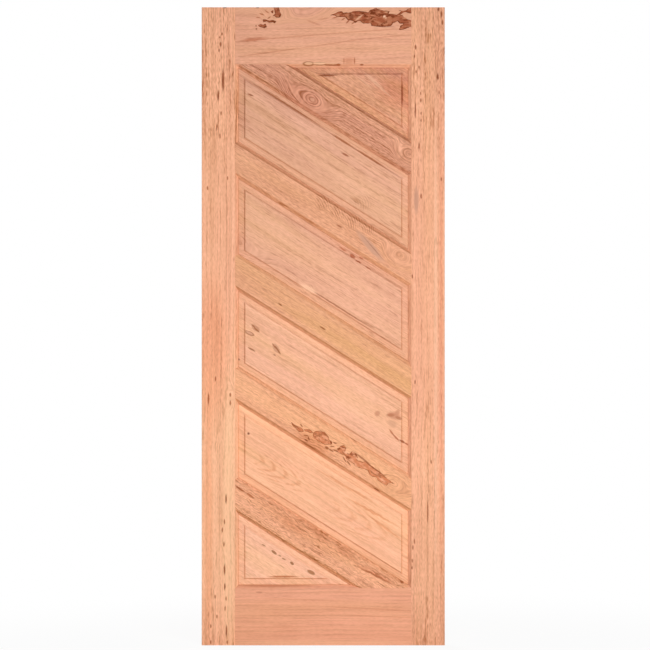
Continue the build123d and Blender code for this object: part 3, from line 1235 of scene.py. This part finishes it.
@dataclass
class CrossRails(Assembly):
    """The level rails at the top and the bottom."""

    top_timber: Timber = Timber(
        "E6A889", 3.0, wander=24.0, jag=6.0, rings=0.12, lines=0.05, fibres=0.16, dashes=0.12, flecks=0.1
    )
    bottom_timber: Timber = Timber(
        "EDAB88", 4.0, lines=0.06, streaks=0.16, fibres=0.10, dashes=0.08, flecks=0.1,
    )
    big_pocket: Hollow = Hollow(
        (
            (422, 2074), (443, 2081), (449, 2086), (462, 2087), (468, 2080), (488, 2083), (500, 2088),
            (520, 2087), (530, 2083), (546, 2083), (556, 2091), (574, 2098), (586, 2091), (619, 2087),
            (614, 2079), (643, 2076), (656, 2086), (647, 2091), (662, 2088), (674, 2091), (692, 2102),
            (692, 2080), (667, 2084), (652, 2075), (661, 2075), (665, 2067), (692, 2055), (692, 2037),
            (661, 2026), (648, 2025), (654, 2039), (664, 2046), (652, 2046), (645, 2054), (631, 2049),
            (623, 2039), (594, 2035), (559, 2039), (556, 2047), (531, 2047), (522, 2055), (514, 2055),
            (505, 2049), (495, 2056), (480, 2058), (474, 2067), (444, 2068), (440, 2073),
        )
    )
    small_pockets: tuple[Hollow, ...] = (
        Hollow(
            (
                (235, 2102), (254, 2102), (258, 2085), (262, 2077), (259, 2067), (246, 2066), (239, 2071),
                (233, 2071), (241, 2079), (239, 2091),
            )
        ),
        Hollow(((228, 2088), (236, 2091), (235, 2080), (230, 2081))),
        Hollow(
            (
                (202, 2060), (212, 2060), (223, 2057), (233, 2058), (245, 2054), (241, 2047), (233, 2050),
                (219, 2050), (213, 2054), (202, 2050),
            )
        ),
        Hollow(
            (
                (186, 2042), (193, 2044), (202, 2043), (210, 2046), (215, 2035), (206, 2031), (198, 2033),
                (188, 2036),
            )
        ),
    )

    def boards(self) -> tuple[Board, ...]:
        """Both rails."""
        return (self.top(), self.bottom())

    def top(self) -> CarvedBoard:
        """Top rail, with its bark pockets, the grain that sweeps round them and a small chip below, whose
        dark lines are painted shadow round paler torn grain.
        """
        pale, dark = "E2AC8A", "6F3013"
        in_pockets = (
            stain(448, 2074, 11, 9, 0, "C88A68"), stain(518, 2066, 30, 5.5, 38, pale),
            stain(601, 2070, 9, 7, 30, "F4C2A2", 0.95), stain(606, 2065, 6, 5, 0, pale),
            stain(609, 2085, 10, 4, 0, "CF9A78", 0.7), stain(616, 2058, 22, 16, 40, "C07C5A", 0.6),
            stain(640, 2062, 26, 12, 20, "B97050", 0.6), stain(492, 2069, 16, 22, 20, dark, 0.7),
            stain(530, 2085, 34, 4.5, -8, dark, 0.75), stain(470, 2080, 20, 5, 20, dark, 0.6),
            stain(586, 2073, 12, 7, 30, dark, 0.75), stain(628, 2074, 16, 8, -10, dark, 0.6),
            stain(577, 2090, 24, 9, 20, dark, 0.5), stain(560, 2082, 20, 5, 0, dark, 0.6),
            stain(563, 2054, 9, 9, 0, dark, 0.6), stain(608, 2052, 6, 8, 0, dark, 0.6),
            stain(535, 2058, 26, 5, 8, dark, 0.6), stain(600, 2037, 60, 4.5, -2, dark, 0.5),
        )
        slashes = flecks(
            (466, 2061, 14, 4, 30, WARM_TINT), (481, 2053, 17, 4.5, 46, "BE9276"),
            (498, 2048, 12, 4, 38, WARM_TINT), (438, 2066, 18, 4, 14, WARM_TINT),
        )
        rising = (
            Mark(277, 2001, 303, 4.3, 4.7, RISING_LINE, 0.45),
            Mark(548, 2022, 247, 4.0, 3.9, RISING_LINE, 0.45),
            Mark(224, 1952, 198, 4.5, 8.0, RISING_LINE, 0.45),
            Mark(432, 1981, 224, 4.0, 8.5, RISING_LINE, 0.45),
            Mark(614, 2003, 148, 3.6, 5.0, RISING_LINE, 0.40),
            Mark(366, 2050, 46, 6.6, -20, RISING_LINE, 0.4), Mark(400, 2062, 40, 5, 8, RISING_LINE, 0.4),
            wash(168, 1994, 80, 12, 8, "DCC0B0"),
        )
        specks = flecks(
            (198, 2077, 16, 4.6, -20, WARM_TINT), (215, 2085, 16, 4, -35, "D4B098"),
            (186, 2066, 14, 4, -10, "D4B098"), (222, 2066, 12, 4, 30, WARM_TINT), (179, 2039, 4.5, 4.5),
            (180, 2029, 5, 4.6), (184, 2099, 10, 4.3),
        )
        # A chip along the lower edge of the face: the dark outlines are painted shadow under the paler torn
        # lip.
        chip_with_painted_shadow = (
            wash(485, 1925, 34, 22, 0, "F2E2D8"), Mark(468, 1923, 20, 4, 90, "D0A88C", 0.6),
            Mark(503, 1924, 22, 4.5, 90, "D0A88C", 0.8), crisp(351, 1914, 38, 16, 0, "A3653F"),
            crisp(352, 1915, 27, 9, 0, "E8B48E"), crisp(388, 1914, 46, 11, 0, "AE6E48"),
            crisp(388, 1915, 44, 6.5, 0, "F0BE98"), crisp(430, 1911, 54, 7, 0, "A05C38"),
            crisp(430, 1914, 46, 3.5, 0, "E4AC86"), crisp(450, 1911, 14, 8, 0, "A45C3A"),
            Mark(527, 1911, 12, 5.5),
        )
        return CarvedBoard(
            "top_rail",
            Grain.LEVEL,
            self.top_timber,
            marks=in_pockets + slashes + rising + specks + chip_with_painted_shadow,
            knots=(Knot(335, 2122, 95, 1.3), Knot(246, 2083, 58, 1.2)),
            hollows=(self.big_pocket, *self.small_pockets),
            bark=Bark("7A3818", "A4583A", "C07A58", "7A3A1E"),
            patch_centre=(430.0, 2057.0),
            patch_size=(540.0, 88.0),
        )

    def bottom(self) -> Board:
        """Bottom rail, with level streaks and a paler foot."""
        marks = (
            stain(235, 196, 240, 8, 0, "B8734F", 0.6), Mark(189, 174, 20, 6, strength=0.35),
            stain(389, 10, 600, 14, 0, "F4C39A", 0.3), Mark(560, 120, 330, 5, -3, LEVEL_STREAK, 0.45),
            Mark(590, 95, 300, 4, -2, LEVEL_STREAK, 0.45), Mark(330, 150, 330, 4, -2, LEVEL_STREAK, 0.3),
            Mark(250, 60, 280, 4, 1, LEVEL_STREAK, 0.3),
        )
        return Board("bottom_rail", Grain.LEVEL, self.bottom_timber, SHADED_BELOW_EDGE, marks)


@dataclass
class DiagonalRails(Assembly):
    """The rails that fall from left to right, from the top one down."""

    timbers: tuple[Timber, ...] = (
        Timber(
            "D49678", 5.0, wander=10.0, jag=3.5, spacing=9.0, rings=0.36, lines=0.24, streaks=0.34,
            fibres=0.42, dashes=0.35,
        ),
        Timber(
            "E0A27F", 6.0, jag=6.0, spacing=9.0, rings=0.08, lines=0.18, streaks=0.2, fibres=0.27,
            dashes=0.15,
        ),
        Timber("DFA37B", 7.0, rings=0.05, lines=0.16, streaks=0.2, fibres=0.22, dashes=0.15, blush=0.16),
        Timber(
            "ECAD84", 8.0, jag=6.0, spacing=9.0, rings=0.12, lines=0.10, streaks=0.2, fibres=0.28,
            dashes=0.2,
        ),
        Timber(
            "EDAD87", 9.0, jag=14.0, spacing=7.0, rings=0.24, lines=0.36, streaks=0.20, fibres=0.36,
            dashes=0.35,
        ),
    )
    # Slope shade is painted on up-facing slopes of the two high rails and on down-facing slopes of the
    # three low ones.
    edges: tuple[WorkedEdge, ...] = (FRAME_EDGE, FRAME_EDGE, SHADED_BELOW_EDGE, SHADED_BELOW_EDGE, SHADED_BELOW_EDGE)
    chain: tuple[Hollow, ...] = (
        Hollow(
            ((295, 734), (305, 724), (317, 720), (331, 713), (334, 704), (319, 704), (311, 714), (301, 721))
        ),
        Hollow(((338, 710), (354, 710), (366, 701), (358, 700), (341, 705))),
        Hollow(
            (
                (368, 699), (373, 703), (381, 706), (392, 702), (403, 701), (410, 693), (417, 687),
                (419, 676), (429, 668), (423, 661), (405, 661), (384, 672), (371, 682), (367, 691),
            )
        ),
        Hollow(
            (
                (445, 638), (458, 656), (468, 658), (475, 649), (471, 639), (485, 629), (496, 637),
                (504, 632), (513, 619), (510, 609), (530, 603), (540, 604), (568, 583), (585, 569),
                (617, 542), (631, 533), (617, 536), (608, 527), (594, 534), (582, 542), (575, 554),
                (562, 556), (552, 564), (548, 575), (537, 581), (525, 583), (506, 591), (499, 599),
                (475, 615), (474, 624), (461, 629),
            )
        ),
    )

    def boards(self) -> tuple[Board, ...]:
        """All the diagonal rails."""
        return (self.first(), self.second(), self.third(), self.fourth(), self.fifth())

    def rail(
        self,
        number: int,
        marks: tuple[Mark, ...],
        ripples: tuple[Ripple, ...] = (),
        knots: tuple[Knot, ...] = (),
    ) -> Board:
        """A plain rail by its number, with what shows on its face."""
        timber, edge = self.timbers[number - 1], self.edges[number - 1]
        return Board(f"diagonal_rail_{number}", Grain.SLOPING, timber, edge, marks, ripples, knots)

    def first(self) -> Board:
        """First rail, with a ringed knot and half a knot at its lower end."""
        return self.rail(
            1,
            marks=(stain(364, 1796, 16, 9, 0, "DCA88C", 0.6), wash(330, 1800, 190, 70, 0, "F8EEEA")),
            knots=(Knot(355, 1801, 66, 2.0), Knot(363, 1797, 42, 1.5), Knot(682, 1618, 50, 1.4)),
        )

    def second(self) -> Board:
        """Second rail, with feathered grain, a grey streak and a swirl at its lower end."""
        return self.rail(
            2,
            marks=(
                stain(554, 1314, 116, 22, -17, "C6967E"), Mark(564, 1308, 104, 3.5, -17, "C09A86", 0.5),
                Mark(452, 1380, 20, 5, 0, "BE9078", 0.7),
                Mark(268, 1450, 40, 6, 3, "D0AC88", 0.6, edge=Edge.RAGGED),
                Mark(345, 1402, 90, 5, 0, "D4B490", 0.6, edge=Edge.RAGGED),
            ),
            ripples=(
                Ripple(398, 1462, 70, 70, 64, 7.5, 10.0, 0.85),
                Ripple(448, 1432, 70, 76, 62, 7.5, 10.0, 0.95),
                Ripple(500, 1400, 70, 70, 54, 7.5, 12.0, 0.90),
                Ripple(548, 1374, 60, 60, 46, 7.0, 12.0, 0.80),
            ),
            knots=(Knot(656, 1282, 52, 1.5),),
        )

    def third(self) -> Board:
        """Third rail, yellower than the others."""
        marks = flecks((398, 1044, 22, 5), (258, 1122, 14, 4))
        return self.rail(3, marks)

    def fourth(self) -> CarvedBoard:
        """Fourth rail, with a chain of bark pockets and a swirl at its lower end."""
        dark = "8E4526"
        squiggles = flecks(
            (328, 724, 12, 5, -20), (343, 690, 14, 4.5, 30), (352, 681, 14, 4.5, -40),
            (344, 675, 12, 4.5, 0), (426, 667, 14, 5, -40), (439, 666, 14, 4.5, 20), (412, 650, 14, 8, 0),
            (426, 642, 18, 5, 0), (440, 641, 20, 5, 10), (450, 647, 12, 6, 50), (430, 655, 14, 4, 30),
            (495, 681, 36, 4.5, -4), (432, 724, 22, 4.5, 0), (470, 612, 20, 4, -30),
            (484, 600, 22, 4, -20), (576, 512, 24, 4.5, 0),
        )
        in_pockets = (
            stain(494, 629, 14, 8, 30, dark), stain(508, 627, 12, 6, -20, dark),
            stain(482, 618, 14, 7, 0, dark), stain(572, 579, 70, 4.5, -3, dark, 0.75),
            stain(464, 652, 14, 5, 10, dark, 0.7), stain(400, 699, 30, 5, -4, dark, 0.6),
            stain(530, 614, 62, 6, -6, dark, 0.7), stain(310, 720, 34, 4, -5, dark, 0.6),
            stain(475, 635, 11, 6.6, 0, "F3B993", 0.9), stain(513, 614, 9, 5, 0, "EBB08A", 0.8),
            stain(566, 571, 36, 4, -5, "E8A27C", 0.7), stain(592, 545, 18, 5, 0, "EDAB86", 0.8),
        )
        below = (
            stain(351, 658, 60, 5.5, 0, "9A5C34", 0.5), wash(368, 662, 120, 44, -4, "F0DCCA", 0.8),
        )
        return CarvedBoard(
            "diagonal_rail_4",
            Grain.SLOPING,
            self.timbers[3],
            self.edges[3],
            marks=squiggles + in_pockets + below,
            ripples=(
                Ripple(364, 664, 48, 120, 98, 8.0, 8.0, 0.7),
                Ripple(452, 608, 40, 90, 86, 8.0, 6.0, 0.5),
            ),
            knots=(Knot(632, 533, 56, 1.7),),
            hollows=self.chain,
            bark=Bark("AC653E", "D08158", "E4A07A", "B06C48"),
            patch_centre=(462.0, 630.0),
            patch_size=(420.0, 66.0),
            depth=1.2,
            grow=1.2,
        )

    def fifth(self) -> Board:
        """Fifth rail, mottled, with dashes at its upper end and dense streaks at its lower."""
        marks = (
            Mark(127, 514, 36, 7, -2, "C29A7A"), Mark(160, 492, 30, 7, -2, "C8A082"),
            Mark(570, 231, 135, 8, 6, "CCAA92", edge=Edge.RAGGED), Mark(659, 208, 13, 8.2, 0, "B88E70"),
            wash(330, 390, 360, 60, 0, "EFDDD2", 0.4), wash(299, 394, 90, 26, 0, "E2CBBB", 0.45),
            wash(385, 366, 76, 20, -4, "E2CBBB", 0.45), wash(480, 300, 96, 24, -4, "E2CBBB", 0.45),
            wash(572, 238, 120, 18, 4, "DCC0B4", 0.45),
        )
        return self.rail(5, marks)


@dataclass
class RaisedPanels(Assembly):
    """The raised panels between the diagonal rails, from the top one down."""

    timbers: tuple[Timber, ...] = (
        Timber(
            "DA9C7C", 10.0, rings=0.06, lines=0.10, streaks=0.26, fibres=0.36, blush=0.16, mottle=0.25,
        ),
        Timber(
            "DFA788", 11.0, rings=0.05, lines=0.24, streaks=0.22, fibres=0.15, dashes=0.08, blush=0.08,
        ),
        Timber(
            "E2A988", 12.0, rings=0.04, lines=0.24, streaks=0.19, fibres=0.17, dashes=0.10, blush=0.08,
        ),
        Timber(
            "EBB18F", 13.0, rings=0.04, lines=0.14, streaks=0.21, fibres=0.17, dashes=0.08, flecks=0.1,
        ),
        Timber(
            "F6B992", 14.0, spacing=12.0, rings=0.15, lines=0.03, streaks=0.22, fibres=0.13, dashes=0.05,
            flecks=0.1,
        ),
        Timber("F7BD9A", 15.0, rings=0.06, lines=0.06, streaks=0.2, fibres=0.18, dashes=0.12),
    )

    def boards(self) -> tuple[Board, ...]:
        """All the panels."""
        return (self.first(), self.second(), self.third(), self.fourth(), self.fifth(), self.sixth())

    def panel(
        self,
        number: int,
        marks: tuple[Mark, ...],
        knots: tuple[Knot, ...] = (),
        ripples: tuple[Ripple, ...] = (),
    ) -> Board:
        """A panel by its number, with what shows on its face."""
        timber = self.timbers[number - 1]
        return Board(f"panel_{number}", Grain.SLOPING, timber, PANEL_EDGE, marks, ripples, knots)

    def first(self) -> Board:
        """Top triangle, redder towards the right."""
        marks = (
            wash(640, 1822, 120, 100, 0, "EED6CA", 0.7), Mark(414, 1876, 54, 6.5, 32.3, "A47C62"),
            Mark(660, 1816, 70, 7, 122.3, "A87860", 0.7), stain(585, 1838, 110, 5, -8, "EDBE9E", 0.4),
            stain(565, 1862, 76, 5, -8, "EDBE9E", 0.4), stain(540, 1850, 60, 4, -8, "EDBE9E", 0.3),
        )
        return self.panel(1, marks)

    def second(self) -> Board:
        """Second panel, with dark stretches along its upper field line."""
        marks = (
            Mark(473, 1615, 26, 6, 6, "B4886C"), Mark(287, 1776, 257, 6, 0, "B88C6C", 0.8),
            Mark(465, 1660, 79, 8, 0, "C8A080", 0.8), Mark(554, 1604, 119, 8, 0, "C8A080", 0.8),
            Mark(160, 1812, 20, 4.6, 10),
        )
        return self.panel(2, marks, ripples=(Ripple(535, 1457, 90, 64, 46, 8.0, 10.0, 0.4),))

    def third(self) -> Board:
        """Third panel, with reddish flecks on its upper border and a feather on its lower one."""
        red, pale_red = "C89882", "D6B09C"
        marks = (
            Mark(496, 1282, 20, 9, -10, red, edge=Edge.RAGGED),
            Mark(515, 1263, 20, 6, 0, red, edge=Edge.RAGGED), Mark(465, 1304, 26, 6.6, 0, pale_red),
            Mark(525, 1275, 16, 5, 0, pale_red), Mark(548, 1242, 20, 5, 0, pale_red),
            Mark(455, 1110, 240, 4.6, 0, "B48C70", 0.8), stain(350, 1173, 56, 18, 4, "FFCDA8", 0.6),
        )
        ripples = (Ripple(348, 1172, 50, 26, 60, 6.0, 6.0, 0.6),)
        return self.panel(3, marks, (Knot(100, 1340, 60, 3.2),), ripples)

    def fourth(self) -> Board:
        """Fourth panel, with small knots at its left and stains at its right."""
        brown, blot = "A86C4E", "C98A6A"
        knots_on_face = (
            crisp(177, 1044, 31, 15, -6, "C68C6C"), crisp(181, 1038, 24, 5, -8, KNOT_RIM),
            crisp(170, 1051, 16, 4, -10, KNOT_RIM), crisp(158, 1027, 33, 13, 6, "AE7250"),
            crisp(157, 1028, 24, 7, 6, "D8A284"), crisp(164, 974, 28, 5, 2, "A86C48"),
            crisp(245, 977, 36, 17, -22, "CC9474"), crisp(251, 971, 32, 5, -26, KNOT_RIM),
            crisp(240, 983, 28, 3.5, -20, KNOT_RIM), crisp(246, 978, 20, 3, -22, "A0664A"),
            stain(240, 956, 9, 5, 0, brown, 0.7), stain(122, 941, 6.6, 5.3, 0, "7A4A34", 0.9),
        )
        stains = (
            stain(578, 763, 17, 17, 0, blot), stain(634, 756, 40, 24, 20, blot),
            stain(644, 766, 14, 22, 0, blot), stain(622, 758, 26, 11, 32, "B47252", 0.8),
            stain(648, 748, 22, 10, 10, "B47252", 0.8), stain(627, 729, 30, 20, 0, "D29A7A", 0.7),
            Mark(625, 700, 24, 5.5, -22, "C89A80"), Mark(640, 683, 28, 5.5, -14, "C08C70"),
            Mark(660, 671, 20, 7, 0, "A4745A"), Mark(675, 662, 18, 5.5, 0, "BE8E74"),
        )
        return self.panel(4, knots_on_face + stains)

    def fifth(self) -> Board:
        """Fifth panel, with long pointed rings."""
        marks = (
            stain(154, 697, 7.3, 7.3, 0, "7A452C", 0.9),
            Mark(560, 440, 160, 8, 3, "E9D0BE", edge=Edge.RAGGED),
            Mark(480, 520, 200, 7, 2, "EDD8C8", edge=Edge.RAGGED),
            Mark(600, 390, 120, 7, -4, "EDD8C8", edge=Edge.RAGGED),
        )
        ripples = (
            Ripple(258, 568, 250, 120, 2, 46.0, 260.0, 0.6, "E8CEBE"),
            Ripple(525, 402, 300, 130, 2, 62.0, 280.0, 0.45, "E8CEBE"),
        )
        return self.panel(5, marks, ripples=ripples)

    def sixth(self) -> Board:
        """Bottom triangle, with a row of dashes."""
        brown = "A06A44"
        marks = (
            crisp(204, 329, 15, 4.5, 0, "B8805C"), crisp(238, 306, 21, 8, -8, brown),
            crisp(257, 295, 10, 4.5, 0, "B8805C"), crisp(270, 284, 14, 5, 0, "B8805C"),
            crisp(297, 270, 15, 8, -10, brown), crisp(360, 240, 28, 12, 4, "AE7650"),
            Mark(270, 226, 90, 6, 32.3, WARM_TINT),
        )
        return self.panel(6, marks)


@dataclass
class Studio:
    """Floor, light and camera, in metres."""

    frame_pixels: float = 650.0
    millimetres_per_pixel: float = 3.2912
    centre_pixel: tuple[float, float] = (323.25, 326.3)
    lens: float = 150.0
    sensor: float = 36.0
    floor_size: float = 30.0
    floor_colour: Colour = (0.85, 0.85, 0.85, 1.0)
    floor_glow: tuple[float, float] = (0.92, 1.0)
    floor_reach: tuple[float, float] = (0.6, 2.0)
    key_place: tuple[float, float, float] = (0.98, -2.9, 1.36)
    key_size: float = 1.2
    key_power: float = 78.0
    rear_place: tuple[float, float, float] = (-0.6, 3.0, 2.0)
    rear_size: float = 2.0
    rear_power: float = 100.0
    ambient: float = 0.10
    backdrop: Colour = (1.0, 1.0, 1.0, 1.0)

    def build(self) -> None:
        """Set the stage round the leaf."""
        bpy.context.scene.view_settings.view_transform = "Standard"
        self.build_floor()
        self.build_world()
        middle = (CAD_BOX[0] + CAD_BOX[1]) / 2
        self.add_lamp("key", self.key_place, middle, self.key_size, self.key_power)
        self.add_lamp("rear_fill", self.rear_place, middle, self.rear_size, self.rear_power)
        self.build_camera()

    def seen(self, sheet: Sheet) -> Socket:
        """Find the rays that show a surface, straight, in a reflection or through glass.

        Args:
            sheet: the nodes of the surface.

        Returns:
            A mask of those rays.
        """
        rays = sheet.add("ShaderNodeLightPath")
        seen = sheet.math("MAXIMUM", rays["Is Camera Ray"], rays["Is Glossy Ray"])
        return sheet.math("MAXIMUM", seen, rays["Is Transmission Ray"])

    def build_floor(self) -> None:
        """Lay a pale floor that shows white and keeps the leaf's shadow."""
        half = self.floor_size / 2
        mesh = bpy.data.meshes.new("floor")
        corners = [(-half, -half, 0), (half, -half, 0), (half, half, 0), (-half, half, 0)]
        mesh.from_pydata(corners, [], [(0, 1, 2, 3)])
        floor = bpy.data.objects.new("floor", mesh)
        floor.location.x = (CAD_BOX[0].x + CAD_BOX[1].x) / 2
        bpy.context.scene.collection.objects.link(floor)
        material = new_material("pale floor")
        sheet = Sheet(material.node_tree)
        matt = sheet.add("ShaderNodeBsdfDiffuse", {"Color": self.floor_colour})
        glow = sheet.add("ShaderNodeEmission")
        place = sheet.add("ShaderNodeTexCoord")["Object"]
        far = sheet.fade(sheet.vector("LENGTH", place), *self.floor_reach)
        near_glow, far_glow = self.floor_glow
        share = sheet.math("ADD", near_glow, sheet.math("MULTIPLY", far, far_glow - near_glow))
        shown = sheet.math("MULTIPLY", self.seen(sheet), share)
        blend = sheet.add("ShaderNodeMixShader", {0: shown, 1: matt[0], 2: glow[0]})
        sheet.add("ShaderNodeOutputMaterial", {"Surface": blend[0]})
        mesh.materials.append(material)

    def build_world(self) -> None:
        """Surround the leaf with soft light behind a white backdrop."""
        world = bpy.data.worlds.new("studio")
        world.use_nodes = True
        world.node_tree.nodes.clear()
        sheet = Sheet(world.node_tree)
        soft = sheet.add("ShaderNodeBackground", {"Color": self.backdrop, "Strength": self.ambient})
        white = sheet.add("ShaderNodeBackground", {"Color": self.backdrop})
        blend = sheet.add("ShaderNodeMixShader", {0: self.seen(sheet), 1: soft[0], 2: white[0]})
        sheet.add("ShaderNodeOutputWorld", {"Surface": blend[0]})
        bpy.context.scene.world = world

    def add_lamp(
        self, name: str, place: tuple[float, float, float], target: Vector, size: float, power: float
    ) -> None:
        """Stand a soft lamp that faces the leaf.

        Args:
            name: the lamp's name.
            place: where it stands.
            target: what it faces.
            size: length of its square face.
            power: its strength in watts.
        """
        lamp = bpy.data.lights.new(name, "AREA")
        lamp.size = size
        lamp.energy = power
        stand = bpy.data.objects.new(name, lamp)
        stand.location = place
        stand.rotation_euler = (target - Vector(place)).to_track_quat("-Z", "Y").to_euler()
        bpy.context.scene.collection.objects.link(stand)

    def build_camera(self) -> None:
        """Place the camera square on, so that the leaf fills the frame as in the photograph."""
        low, high = CAD_BOX
        scale = self.millimetres_per_pixel * MM
        middle_pixel = self.frame_pixels / 2
        distance = self.frame_pixels * scale * self.lens / self.sensor
        camera = bpy.data.cameras.new("camera")
        camera.lens = self.lens
        camera.sensor_width = self.sensor
        stand = bpy.data.objects.new("camera", camera)
        stand.location = (
            (low.x + high.x) / 2 + (middle_pixel - self.centre_pixel[0]) * scale,
            low.y - distance,
            (low.z + high.z) / 2 - (middle_pixel - self.centre_pixel[1]) * scale,
        )
        stand.rotation_euler = (math.pi / 2, 0.0, 0.0)
        bpy.context.scene.collection.objects.link(stand)
        bpy.context.scene.camera = stand


def main() -> None:
    """Dress the leaf and set the stage round it."""
    logging.basicConfig(level=logging.INFO, format="%(name)s: %(message)s")
    nodes = TimberNodes()
    for assembly in (Stiles(), CrossRails(), DiagonalRails(), RaisedPanels()):
        assembly.dress(nodes)
    Studio().build()


if __name__ == "__main__":
    main()
